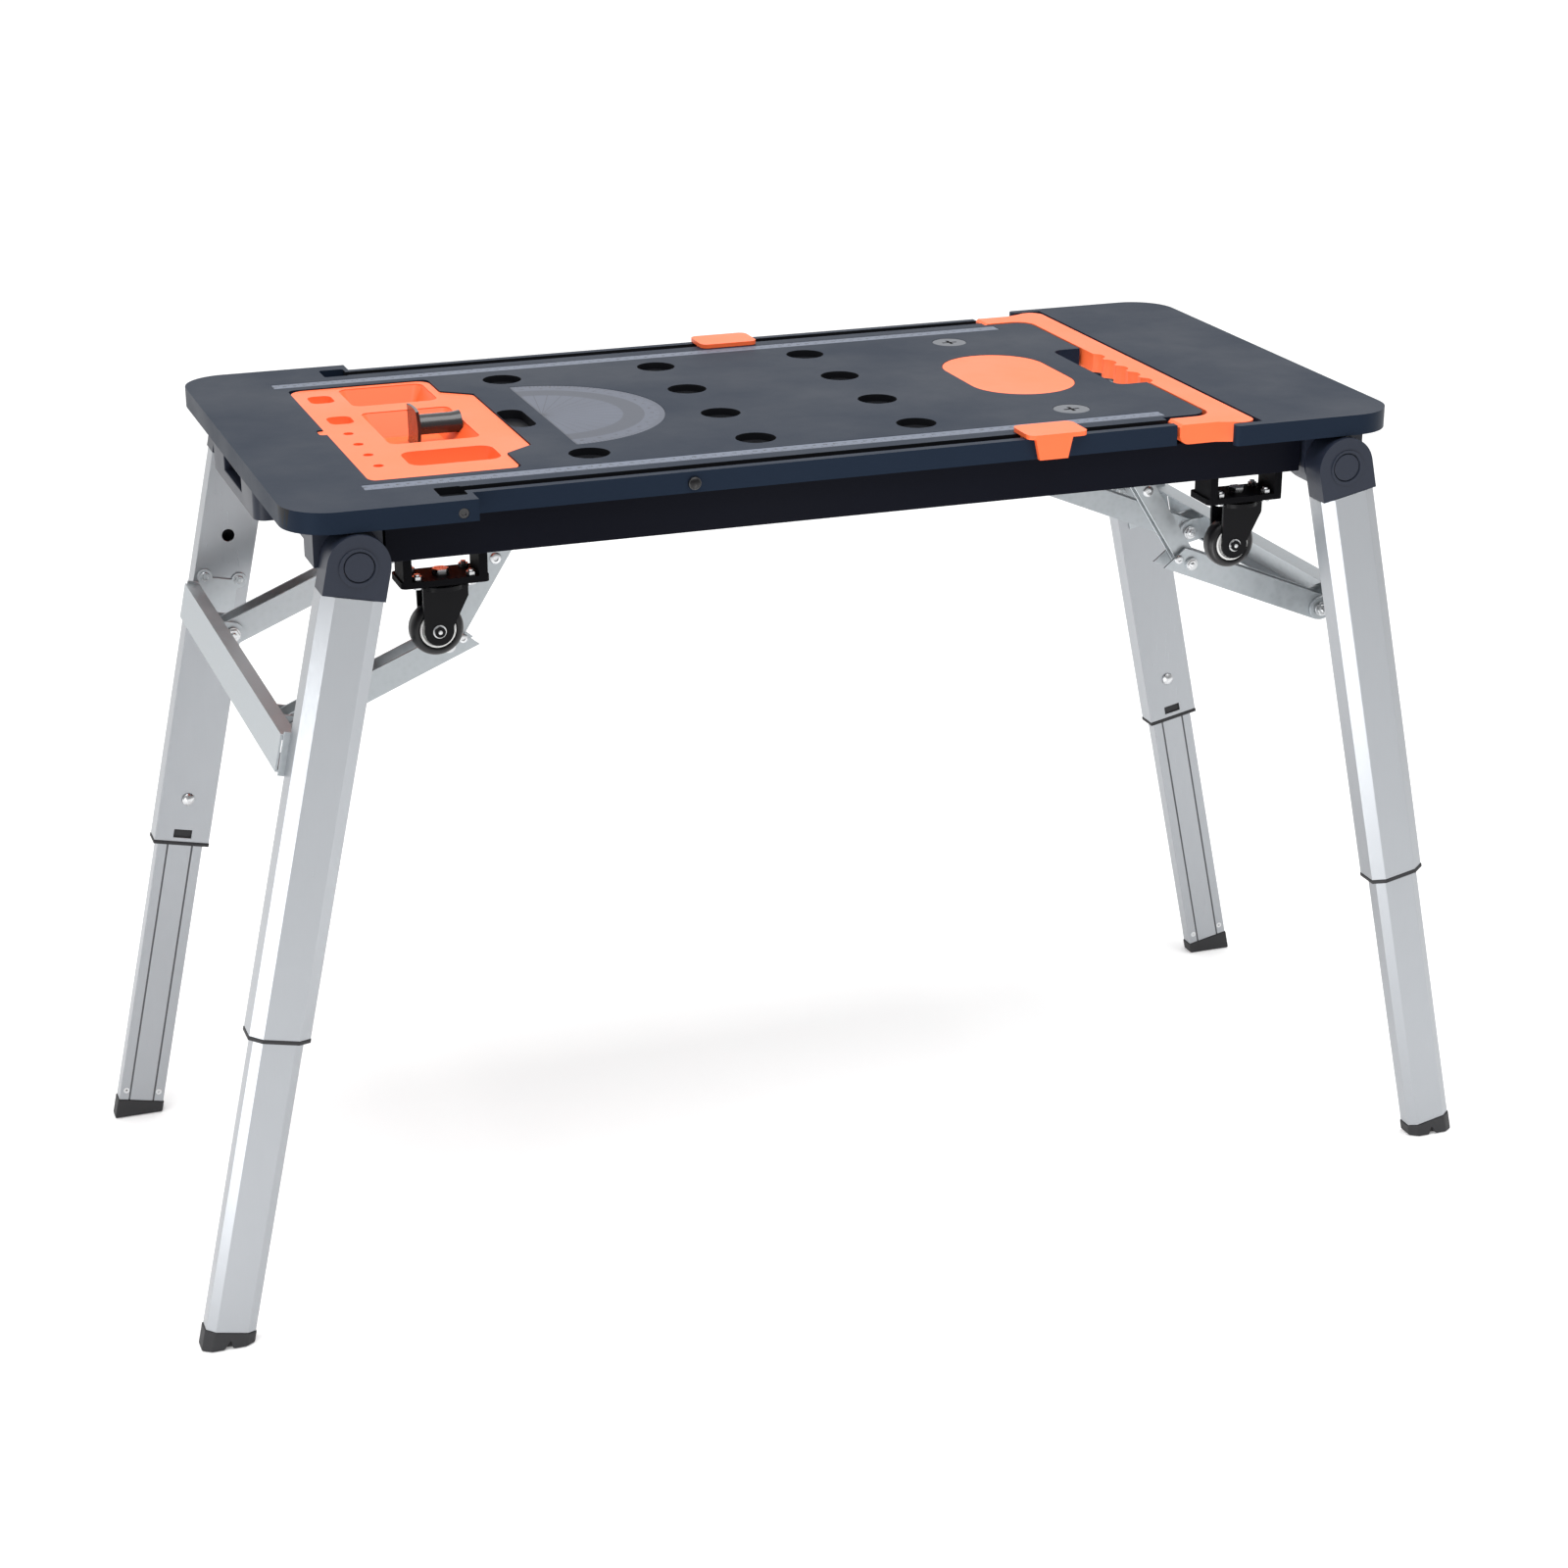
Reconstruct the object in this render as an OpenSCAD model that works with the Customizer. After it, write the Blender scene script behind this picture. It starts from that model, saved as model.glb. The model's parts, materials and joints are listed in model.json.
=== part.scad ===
// Folding work support: a slotted deck carried by two folding, telescoping leg frames.

/* [Top] */
// Overall length of the top
top_length = 1100; // [1060:5:1160]
// Width over the end plates
top_width = 544; // [544:2:600]
// Height of the top surface above the floor
top_height = 806; // [780:1:850]
// Depth of the plate edges
edge_depth = 20; // [18:0.5:20]
// Thickness of the plates inside their edges
plate_thickness = 15; // [14:0.5:16]
// Half width of the middle of the deck
deck_half_width = 249; // [247:0.5:252]
// Corner radius of the end plates
corner_radius = 45; // [30:1:55]

/* [Dog holes] */
// Bore diameter of the dog holes
dog_bore_diameter = 24; // [20:0.5:26]
// Diameter of the counterbore over each hole
dog_recess_diameter = 39; // [34:1:40]
// Sideways position of the outer holes
dog_outer_y = 154; // [140:1:160]
// Sideways position of the inner holes
dog_inner_y = 52; // [45:1:60]

/* [Legs] */
// Distance of each hinge from the middle of the top
hinge_x = 490; // [486:1:496]
// Depth of the hinge axis below the top surface
hinge_drop = 50.5; // [50.5:0.5:56]
// Splay of the legs from upright
splay = 12; // [10:0.5:14]
// Width of an outer leg
outer_leg_width = 58; // [56:0.5:58]
// Width of an inner leg
inner_leg_width = 48; // [44:0.5:48]
// Distance from hinge to the lower end of an outer leg
outer_leg_reach = 452; // [440:1:460]
// Distance from hinge to the top of an extended inner leg
inner_leg_top = 370; // [365:1:390]
// Distance from hinge to the lower end of an extended inner leg
inner_leg_end = 755; // [748:1:756]
// Wall of the leg tubes
leg_wall = 2; // [1.5:0.1:2.5]

/* [Stays] */
// Upper pivot of each stay, along the top
stay_top_x = 300; // [290:1:304]
// Upper pivot of each stay, below the top surface
stay_top_drop = 34; // [30:1:40]
// Knee of each stay, along the top
knee_x = 385; // [380:1:395]
// Knee of each stay, below the top surface
knee_drop = 170; // [165:1:175]
// Place of the lower stay pivot along the leg
stay_foot_s = 187; // [180:1:195]

/* [Casters] */
// Distance of each caster from the middle of the top
caster_x = 403; // [398:1:410]
// Sideways position of the casters
caster_y = 215; // [212:1:217]
// Wheel diameter
wheel_diameter = 50; // [44:1:50]
// Wheel width
wheel_width = 19; // [16:0.5:20]
// Trail of the wheel behind the swivel
caster_trail = 6; // [5:0.5:8]

/* [Hidden] */
$fn = 96;
hinge_z = top_height - hinge_drop;
half_length = top_length / 2;
half_width = top_width / 2;
leg_in = 245;
leg_out = 277;
stay_y = 149;
stay_foot_u = 6;
bore_r = dog_bore_diameter / 2;
recess_r = dog_recess_diameter / 2;
dog_spots = [
  [-242, dog_outer_y],
  [-242, -dog_outer_y],
  [-78, dog_outer_y],
  [-78, dog_inner_y],
  [-78, -dog_inner_y],
  [-78, -dog_outer_y],
  [86, dog_outer_y],
  [86, dog_inner_y],
  [86, -dog_inner_y],
  [86, -dog_outer_y]
];
tray_pockets = [
  [-408, -322, 98, 172, 22],
  [-408, -320, -57, 70, 24],
  [-408, -320, -140, -88, 22],
  [-444, -420, 122, 152, 12],
  [-444, -420, 35, 65, 12]
];
foot_sx = hinge_x + stay_foot_s * sin(splay) + stay_foot_u * cos(splay);
foot_sz = hinge_z - stay_foot_s * cos(splay) + stay_foot_u * sin(splay);
top_sz = top_height - stay_top_drop;
knee_z = top_height - knee_drop;
upper_length = sqrt(pow(knee_x - stay_top_x, 2) + pow(knee_z - top_sz, 2));
lower_length = sqrt(pow(knee_x - foot_sx, 2) + pow(knee_z - foot_sz, 2));
upper_angle = atan2(knee_z - top_sz, knee_x - stay_top_x);
lower_angle = atan2(knee_z - foot_sz, knee_x - foot_sx);
axle_z = top_height - 133;
navy = [0.12, 0.15, 0.2];
black = [0.06, 0.06, 0.07];
orange = [0.95, 0.33, 0.05];
silver = [0.78, 0.79, 0.8];
zinc = [0.62, 0.63, 0.64];
pale = [0.85, 0.86, 0.86];

// ---- placing helpers ----

module on_top() {
  translate([0, 0, top_height])
    children();
}

module both_y() {
  children();
  mirror([0, 1, 0])
    children();
}

module both_x() {
  children();
  mirror([1, 0, 0])
    children();
}

module at_end(sx) {
  if (sx > 0) {
    children();
  } else {
    mirror([1, 0, 0])
      children();
  }
}

module at_side(sy) {
  if (sy > 0) {
    children();
  } else {
    mirror([0, 1, 0])
      children();
  }
}

module in_leg() {
  translate([hinge_x, 0, hinge_z])
    rotate([0, -splay, 0])
      children();
}

module along_leg(s0, s1) {
  translate([0, 0, -s1])
    linear_extrude(s1 - s0)
      children();
}

module upright(y0, y1) {
  translate([0, y1, 0])
    rotate([90, 0, 0])
      linear_extrude(y1 - y0)
        children();
}

module rod_y(r, y0, y1) {
  translate([0, y0, 0])
    rotate([-90, 0, 0])
      cylinder(r = r, h = y1 - y0);
}

// ---- flat outlines ----

module rounded(x0, x1, y0, y1, r) {
  translate([x0 + r, y0])
    square([x1 - x0 - 2 * r, y1 - y0]);
  translate([x0, y0 + r])
    square([x1 - x0, y1 - y0 - 2 * r]);
  for (x = [x0 + r, x1 - r])
    for (y = [y0 + r, y1 - r])
      translate([x, y])
        circle(r = r);
}

module box(x0, x1, y0, y1, z0, z1) {
  translate([x0, y0, z0])
    cube([x1 - x0, y1 - y0, z1 - z0]);
}

module stadium(w, l) {
  translate([-w / 2, -(l - w) / 2])
    square([w, l - w]);
  for (s = [-1, 1])
    translate([0, s * (l - w) / 2])
      circle(r = w / 2);
}

module link_shape(l, r) {
  circle(r = r);
  translate([0, -r])
    square([l, 2 * r]);
  translate([l, 0])
    circle(r = r);
}

module leg_shape(w, y0, y1, cu, cy) {
  polygon([
    [-w / 2, y0],
    [w / 2, y0],
    [w / 2, y1 - cy],
    [w / 2 - cu, y1],
    [-w / 2 + cu, y1],
    [-w / 2, y1 - cy]
  ]);
}

module deck_outline(i) {
  rounded(-half_length + i, -420, -half_width + i, half_width - i, corner_radius - i);
  translate([-480, -half_width + i])
    square([101 - i, 2 * (half_width - i)]);
  translate([-390, -deck_half_width + i])
    square([708, 2 * (deck_half_width - i)]);
  rounded(270, 368 - i, -216 + i, 216 - i, 18 - i);
}

module tray_outline(g) {
  rounded(-456 - g, -314 + g, -180 - g, 180 + g, 8);
  polygon([
    [-320, -127 - g],
    [-314, -127 - g],
    [-285 + g, -105 - g],
    [-285 + g, 105 + g],
    [-314, 127 + g],
    [-320, 127 + g]
  ]);
  rounded(-463 - g, -440, -4 - g, 14 + g, 4);
}

// ---- the top ----

module deck() {
  color(navy)
    on_top()
      difference() {
        union() {
          translate([0, 0, -plate_thickness])
            linear_extrude(plate_thickness)
              deck_outline(0);
          translate([0, 0, -edge_depth])
            linear_extrude(edge_depth - 1)
              difference() {
                deck_outline(0);
                deck_outline(4);
              }
          for (p = dog_spots)
            translate([p.x, p.y, -edge_depth])
              cylinder(r = recess_r + 2, h = edge_depth - 2);
        }
        for (p = dog_spots)
          translate([p.x, p.y, 0]) {
            translate([0, 0, -30])
              cylinder(r = bore_r, h = 40);
            translate([0, 0, -7])
              cylinder(r = recess_r, h = 9);
          }
        both_y() {
          box(-467.3, 325.3, 192.3, 209.7, -1.4, 1);
          box(-409, 330, 226, 240, -7, 1);
          translate([0, 0, -7])
            linear_extrude(8)
              rounded(-409, -384, 224, 254, 3);
          translate([250, dog_outer_y, -3])
            cylinder(r = 18.2, h = 4);
          translate([331, 0, -10])
            rod_y(3, 205, 225);
          translate([-393, 0, -12])
            rod_y(5, half_width - 2.5, half_width + 5);
        }
        translate([-244, 0, -1.4])
          linear_extrude(3)
            intersection() {
              circle(r = 120.3);
              translate([-0.3, -130])
                square([130, 260]);
            }
        translate([250, 0, -3])
          linear_extrude(4)
            stadium(108.6, 175.6);
        translate([0, 0, -5.2])
          linear_extrude(7)
            tray_outline(0.6);
        translate([0, 0, -30])
          linear_extrude(40)
            rounded(-449, -316, -176, 176, 4);
        translate([0, 0, -9])
          linear_extrude(10)
            rounded(-284, -258, -40, 30, 12);
        translate([0, 0, -30])
          linear_extrude(40)
            rounded(335, 390, -80, 80, 12);
      }
}

module plate_outline(i) {
  rounded(440, half_length - i, -half_width + i, half_width - i, corner_radius - i);
  translate([403 + i, -half_width + i])
    square([93, 2 * (half_width - i)]);
}

module right_end_plate() {
  color(navy)
    on_top() {
      difference() {
        union() {
          translate([0, 0, -edge_depth])
            linear_extrude(edge_depth)
              plate_outline(0);
          for (s = [-1, 1])
            translate([0, 0, -edge_depth])
              linear_extrude(edge_depth)
                rounded(370, 430, s > 0 ? 261 : -half_width, s > 0 ? half_width : -261, 5);
        }
        translate([0, 0, -edge_depth - 1])
          linear_extrude(edge_depth - plate_thickness + 1)
            plate_outline(4);
      }
    }
}

module rulers() {
  color(pale)
    on_top()
      both_y()
        box(-467, 325, 192.5, 209.5, -1.4, -0.2);
}

module protractor() {
  color(pale)
    on_top()
      translate([-244, 0, -1.4])
        linear_extrude(1.2)
          intersection() {
            circle(r = 120);
            translate([0, -130])
              square([130, 260]);
          }
}

module oval_insert() {
  color(orange)
    on_top()
      translate([250, 0, -3])
        linear_extrude(2.8)
          stadium(108, 175);
}

module deck_fasteners() {
  color(pale)
    on_top()
      both_y() {
        translate([250, dog_outer_y, -3])
          difference() {
            cylinder(r = 17.9, h = 2.8);
            translate([0, 0, 1.3])
              box(-8, 8, -1.6, 1.6, 0, 3);
            translate([0, 0, 1.3])
              box(-1.6, 1.6, -8, 8, 0, 3);
          }
        translate([-393, 0, -12])
          difference() {
            rod_y(4.8, half_width - 2.5, half_width - 0.6);
            rod_y(2.4, half_width - 1.8, half_width + 1);
          }
        translate([-171, 0, -11])
          rod_y(6, deck_half_width, deck_half_width + 2.5);
      }
}

// ---- the frame under the top ----

module beam() {
  difference() {
    union() {
      box(-458, 458, 202, 240, top_height - 60, top_height - 20.5);
      box(-300, 300, 206, 236, top_height - 21, top_height - plate_thickness);
    }
    box(-470, 470, 203.5, 238.5, top_height - 58.5, top_height - 22);
  }
}

module front_beam() {
  color(black)
    mirror([0, 1, 0])
      beam();
}

module rear_beam() {
  color(black)
    beam();
}

module end_beam() {
  translate([0, 0, top_height - 50])
    difference() {
      union() {
        linear_extrude(50 - edge_depth)
          rounded(510, 548, -105, 105, 12);
        linear_extrude(50 - plate_thickness)
          translate([510, -201])
            square([8, 402]);
      }
      box(500, 560, -42, 42, 12, 26);
      box(518, 544, -98, 98, -1, 9);
    }
}

module left_end_beam() {
  color(black)
    mirror([1, 0, 0])
      end_beam();
}

module right_end_beam() {
  color(black)
    end_beam();
}

module hanger() {
  difference() {
    union() {
      box(stay_top_x - 21, stay_top_x + 16, 128, 170, top_height - 18, top_height - plate_thickness);
      for (y = [130, 164]) {
        translate([stay_top_x, 0, top_sz])
          upright(y, y + 4)
            circle(r = 8);
        box(stay_top_x - 8, stay_top_x + 8, y, y + 4, top_sz, top_height - 17);
      }
      translate([stay_top_x, 0, top_sz])
        rod_y(4, 129, 169);
    }
  }
}

module cross_members() {
  color(black) {
    both_x()
      both_y()
        hanger();
    both_x()
      difference() {
        box(18, 54, -201, 201, top_height - 48, top_height - plate_thickness);
        box(21, 51, -210, 210, top_height - 45, top_height - plate_thickness - 3);
      }
  }
}

module hinge_block() {
  difference() {
    union() {
      translate([hinge_x, 0, hinge_z])
        upright(205, 244.5)
          circle(r = 29.5);
      box(461, 524, 205, 244.5, hinge_z - 6, top_height - edge_depth);
    }
    translate([hinge_x, 0, hinge_z])
      rod_y(6, 200, 250);
  }
}

module hinge_blocks() {
  color(black)
    both_x()
      both_y()
        hinge_block();
}

module hinge_pins() {
  color(zinc) {
    both_x()
      both_y()
        translate([hinge_x, 0, hinge_z]) {
          rod_y(6, 207, 274);
          rod_y(13.5, 273.4, 276.6);
        }
    both_y()
      translate([331, 0, top_height - 10])
        rod_y(3, 206, 244);
  }
}

module caster_bracket() {
  translate([caster_x, 0, top_height]) {
    difference() {
      translate([0, 0, -88])
        linear_extrude(6)
          rounded(-41, 41, 194, 236, 5);
      translate([0, caster_y, -95])
        cylinder(r = 5, h = 20);
    }
    for (s = [-1, 1])
      upright(202, 236)
        polygon([
          [s * 31, -60],
          [s * 39, -60],
          [s * 39, -83],
          [s * 35, -85],
          [s * 31, -85]
        ]);
  }
}

module caster_brackets() {
  color(black)
    both_y() {
      caster_bracket();
      mirror([1, 0, 0])
        caster_bracket();
    }
}

module caster_bolts() {
  color(zinc)
    both_x()
      both_y()
        translate([caster_x, caster_y, top_height]) {
          translate([0, 0, -97])
            cylinder(r = 5, h = 18);
          translate([0, 0, -82])
            cylinder(r = 8, h = 5, $fn = 6);
          translate([0, 0, -101])
            cylinder(r = 8, h = 5);
          for (x = [-25, 25])
            for (y = [-14, 14])
              translate([x, y, 0]) {
                translate([0, 0, -82])
                  cylinder(r = 4.8, h = 3.6, $fn = 6);
                translate([0, 0, -82])
                  cylinder(r = 2.6, h = 5.5);
                translate([0, 0, -90.4])
                  cylinder(r = 4.4, h = 2.4);
              }
        }
}

// ---- leg frames ----

module outer_leg(sx, sy) {
  color(silver)
    at_end(sx)
      at_side(sy)
        in_leg()
          difference() {
            along_leg(29.2, outer_leg_reach)
              leg_shape(outer_leg_width, leg_in, leg_out, 12, 8);
            along_leg(20, outer_leg_reach + 5)
              leg_shape(outer_leg_width - 2 * leg_wall, leg_in + leg_wall, leg_out - leg_wall, 10.9, 7.3);
            translate([0, 0, -404])
              rod_y(6.5, 240, 250);
            translate([0, 0, -114])
              rod_y(6.5, 240, 250);
            translate([0, 0, -443])
              box(-9.5, 9.5, 240, 250, -4.5, 4.5);
          }
}

module knuckles(sx) {
  color(black)
    at_end(sx)
      both_y()
        in_leg()
          difference() {
            union() {
              rod_y(29, 245.5, 276);
              box(-29, 29, 245.5, 276, -29.2, 0);
              along_leg(27, 72)
                leg_shape(53.6, 247.2, 274.8, 10.9, 7.3);
              difference() {
                translate([0.7, 0, -0.7])
                  rod_y(17.5, 270, 277.2);
                rod_y(14.5, 260, 290);
              }
            }
            rod_y(6.05, 240, 290);
            rod_y(14, 273, 290);
          }
}

module collars(sx) {
  color(black)
    at_end(sx)
      both_y()
        in_leg()
          difference() {
            union() {
              along_leg(424, outer_leg_reach + 1)
                leg_shape(53.8, 247.1, 274.9, 10.9, 7.3);
              along_leg(outer_leg_reach, outer_leg_reach + 4)
                leg_shape(59, 244.4, 277.6, 12, 8);
            }
            along_leg(400, outer_leg_reach + 20)
              leg_shape(inner_leg_width + 0.8, 249.6, 272.4, 8.5, 5.7);
          }
}

module crossbar(sx) {
  color(zinc)
    at_end(sx)
      in_leg() {
        difference() {
          box(22, 37.5, -243, 243, -205, -169);
          box(20, 35.5, -250, 250, -203, -171);
        }
        both_y() {
          for (y = [132, 162.5])
            difference() {
              union() {
                translate([stay_foot_u, 0, -stay_foot_s])
                  upright(y, y + 3.5)
                    circle(r = 12);
                box(stay_foot_u, 36, y, y + 3.5, -stay_foot_s - 12, -stay_foot_s + 12);
              }
            }
          translate([stay_foot_u, 0, -stay_foot_s])
            rod_y(4, 130, 168);
        }
      }
}

module crossbar_plates(sx) {
  color(zinc)
    at_end(sx)
      both_y()
        in_leg() {
          box(-17, 35, 243, 245, -208, -166);
          box(-18, 18, 243, 245, -170, -160);
          for (u = [-18, 18])
            translate([u, 0, -160]) {
              rod_y(8, 243, 245);
              rod_y(4.5, 241.2, 244);
            }
        }
}

module inner_leg(sx, sy) {
  color(silver)
    at_end(sx)
      at_side(sy)
        in_leg()
          difference() {
            along_leg(inner_leg_top, inner_leg_end)
              leg_shape(inner_leg_width, 250, 272, 8.5, 5.7);
            along_leg(inner_leg_top - 5, inner_leg_end + 5)
              leg_shape(inner_leg_width - 2 * leg_wall, 252, 270, 7.5, 5);
            for (u = [-13, 13])
              along_leg(inner_leg_top - 5, inner_leg_end + 5)
                translate([u - 0.8, 249])
                  square([1.6, 2]);
          }
}

module foot(sx, sy) {
  color(black)
    at_end(sx)
      at_side(sy)
        difference() {
          in_leg()
            difference() {
              union() {
                along_leg(inner_leg_end, inner_leg_end + 40)
                  leg_shape(50, 249, 273, 9, 6);
                along_leg(inner_leg_end - 22, inner_leg_end + 1)
                  leg_shape(43.8, 252.1, 269.9, 7.5, 5);
              }
              translate([0, 0, -inner_leg_end - 8])
                upright(268, 280)
                  polygon([
                    [0, 0],
                    [11, -26],
                    [-11, -26]
                  ]);
            }
          box(400, 900, 200, 320, -60, 0);
        }
}

module button(sx, sy) {
  color(zinc)
    at_end(sx)
      at_side(sy)
        in_leg()
          translate([0, 0, -404]) {
            rod_y(6.45, 243.5, 247.4);
            rod_y(8, 247.2, 248);
            intersection() {
              translate([0, 250.5, 0])
                sphere(r = 9.6);
              rod_y(6.45, 240, 244);
            }
          }
}

// ---- stays ----

module upper_stays(sx) {
  color(zinc)
    at_end(sx)
      both_y()
        translate([stay_top_x, 0, top_sz])
          rotate([0, -upper_angle, 0])
            difference() {
              union() {
                for (y = [141, 155])
                  upright(y, y + 2)
                    link_shape(upper_length, 10);
                box(12, upper_length - 40, 141, 157, 8, 10);
              }
              rod_y(4.05, 130, 170);
              translate([upper_length, 0, 0])
                rod_y(4, 130, 170);
            }
}

module lower_stays(sx) {
  color(zinc)
    at_end(sx)
      both_y()
        translate([foot_sx, 0, foot_sz])
          rotate([0, -lower_angle, 0])
            difference() {
              union() {
                for (y = [136, 160])
                  upright(y, y + 2) {
                    link_shape(lower_length, 13);
                    polygon([
                      [lower_length - 5, -13],
                      [lower_length + 13, -13],
                      [lower_length + 27, 13],
                      [lower_length - 5, 13]
                    ]);
                  }
                box(14, lower_length - 58, 136, 162, 11, 13);
                translate([lower_length, 0, 0]) {
                  rod_y(7, 134, 137);
                  rod_y(7, 161, 164);
                }
              }
              rod_y(4.05, 130, 170);
            }
}

// ---- casters ----

module at_caster(sx, sy) {
  translate([sx * caster_x, sy * caster_y, top_height])
    children();
}

module fork(sx, sy) {
  color(black)
    at_caster(sx, sy)
      difference() {
        union() {
          translate([0, 0, -94])
            cylinder(r = 22, h = 4);
          for (y = [-14, 11])
            upright(y, y + 3) {
              polygon([
                [-20, -91],
                [22, -91],
                [22, -101],
                [-caster_trail + 13.2, -130],
                [-caster_trail - 13.2, -130],
                [-20, -106]
              ]);
              translate([-caster_trail, -133])
                circle(r = 13.5);
            }
          translate([-caster_trail, 0, -133])
            rod_y(3, -15, 15);
          for (y = [-17, 14])
            translate([-caster_trail, 0, -133])
              rod_y(5, y, y + 3);
        }
        translate([0, 0, -100])
          cylinder(r = 5.05, h = 20);
      }
}

module tyre(sx, sy) {
  color(black)
    at_caster(sx, sy)
      translate([-caster_trail, 0, -133])
        rotate([90, 0, 0])
          rotate_extrude()
            difference() {
              union() {
                translate([17, -wheel_width / 2])
                  square([wheel_diameter / 2 - 20, wheel_width]);
                translate([17, 3 - wheel_width / 2])
                  square([wheel_diameter / 2 - 17, wheel_width - 6]);
                for (z = [3 - wheel_width / 2, wheel_width / 2 - 3])
                  translate([wheel_diameter / 2 - 3, z])
                    circle(r = 3, $fn = 48);
              }
            }
}

module hub(sx, sy) {
  color(pale)
    at_caster(sx, sy)
      translate([-caster_trail, 0, -133])
        difference() {
          union() {
            rod_y(17, -6, 6);
            rod_y(7, -9.5, 9.5);
            difference() {
              rod_y(17, -9, 9);
              rod_y(14.5, -12, 12);
            }
          }
          rod_y(3.05, -20, 20);
        }
}

// ---- loose and sliding pieces ----

module stop_block() {
  difference() {
    union() {
      translate([0, 0, 0.4])
        linear_extrude(4.2)
          rounded(-31, 31, 212, 255, 8);
      upright(249.8, 255)
        polygon([
          [-24.5, 2],
          [14.5, 2],
          [9.5, -19.8],
          [-19.5, -19.8]
        ]);
      box(-28, 28, 227, 239, -6, 1);
    }
  }
}

module front_stop() {
  color(orange)
    on_top()
      mirror([0, 1, 0])
        translate([191, 0, 0])
          stop_block();
}

module rear_stop() {
  color(orange)
    on_top()
      translate([23, 0, 0])
        stop_block();
}

module carry_handle() {
  color(orange)
    on_top()
      difference() {
        union() {
          translate([0, 0, -19.8])
            linear_extrude(19.6) {
              rounded(371, 400, -258, 258, 14);
              both_y() {
                translate([331, 222])
                  square([60, 27]);
                difference() {
                  translate([351, 202])
                    square([21, 21]);
                  translate([351, 202])
                    circle(r = 20);
                }
                translate([360, 222])
                  polygon([
                    [0, 0],
                    [20, 0],
                    [20, 34],
                    [0, 27]
                  ]);
              }
            }
          both_y() {
            translate([331, 0, -10]) {
              rod_y(9.8, 222, 249);
              upright(222, 249)
                polygon([
                  [-9.8, 0],
                  [-9.8, 7],
                  [-7, 9.8],
                  [2, 9.8],
                  [2, 0]
                ]);
            }
          }
        }
        both_y()
          translate([331, 0, -10])
            rod_y(3.05, 200, 246);
        for (y = [-70, -42, -14, 14, 42])
          translate([366, y, -25])
            cylinder(r = 12, h = 30);
      }
}

module tool_tray() {
  color(orange)
    on_top()
      difference() {
        union() {
          translate([0, 0, -5.2])
            linear_extrude(4)
              tray_outline(0);
          for (p = tray_pockets)
            box(p[0] - 2.2, p[1] + 2.2, p[2] - 2.2, p[3] + 2.2, -p[4] - 2, -3);
          for (y = [-3, -45, -86, -127])
            translate([-435.7, y, -14])
              cylinder(r = 7.5, h = 11);
        }
        for (p = tray_pockets)
          difference() {
            box(p[0], p[1], p[2], p[3], -p[4], 1);
            box(-344, -338, -8, 38, -p[4] - 1, -16.2);
          }
        for (y = [-3, -45, -86, -127])
          translate([-435.7, y, -12])
            cylinder(r = 5, h = 20);
        translate([-350, 15, -4.6])
          rotate([0, 90, 0])
            cylinder(r = 11.8, h = 30);
      }
}

module bench_dog() {
  color(black)
    on_top()
      translate([-370, 15, -4.6]) {
        difference() {
          box(0, 5, -19, 19, -19, 19);
          for (y = [-19, 19])
            for (z = [-19, 19])
              translate([-1, y, z])
                rotate([45, 0, 0])
                  translate([0, -2.2, -2.2])
                    cube([7, 4.4, 4.4]);
        }
        rotate([0, 90, 0])
          cylinder(r = 11.5, h = 46);
        translate([46, 0, 0])
          rotate([0, 90, 0])
            cylinder(r = 9.5, h = 2);
      }
}

// ---- what is drawn ----

deck();
right_end_plate();
front_beam();
rear_beam();
left_end_beam();
right_end_beam();
cross_members();
rulers();
protractor();
oval_insert();
deck_fasteners();
hinge_blocks();
hinge_pins();
caster_brackets();
caster_bolts();
outer_leg(-1, -1);  // left_front_outer_leg
outer_leg(-1, 1);  // left_rear_outer_leg
knuckles(-1);  // left_knuckles
collars(-1);  // left_collars
crossbar(-1);  // left_crossbar
crossbar_plates(-1);  // left_crossbar_plates
outer_leg(1, -1);  // right_front_outer_leg
outer_leg(1, 1);  // right_rear_outer_leg
knuckles(1);  // right_knuckles
collars(1);  // right_collars
crossbar(1);  // right_crossbar
crossbar_plates(1);  // right_crossbar_plates
inner_leg(-1, -1);  // left_front_inner_leg
inner_leg(-1, 1);  // left_rear_inner_leg
inner_leg(1, -1);  // right_front_inner_leg
inner_leg(1, 1);  // right_rear_inner_leg
foot(-1, -1);  // left_front_foot
foot(-1, 1);  // left_rear_foot
foot(1, -1);  // right_front_foot
foot(1, 1);  // right_rear_foot
button(-1, -1);  // left_front_button
button(-1, 1);  // left_rear_button
button(1, -1);  // right_front_button
button(1, 1);  // right_rear_button
upper_stays(-1);  // left_upper_stays
lower_stays(-1);  // left_lower_stays
upper_stays(1);  // right_upper_stays
lower_stays(1);  // right_lower_stays
fork(-1, -1);  // left_front_fork
fork(-1, 1);  // left_rear_fork
fork(1, -1);  // right_front_fork
fork(1, 1);  // right_rear_fork
tyre(-1, -1);  // left_front_tyre
tyre(-1, 1);  // left_rear_tyre
tyre(1, -1);  // right_front_tyre
tyre(1, 1);  // right_rear_tyre
hub(-1, -1);  // left_front_hub
hub(-1, 1);  // left_rear_hub
hub(1, -1);  // right_front_hub
hub(1, 1);  // right_rear_hub
front_stop();
rear_stop();
carry_handle();
tool_tray();
bench_dog();
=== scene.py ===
import json
import math

import bmesh
import bpy
from mathutils import Matrix, Vector


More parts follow.
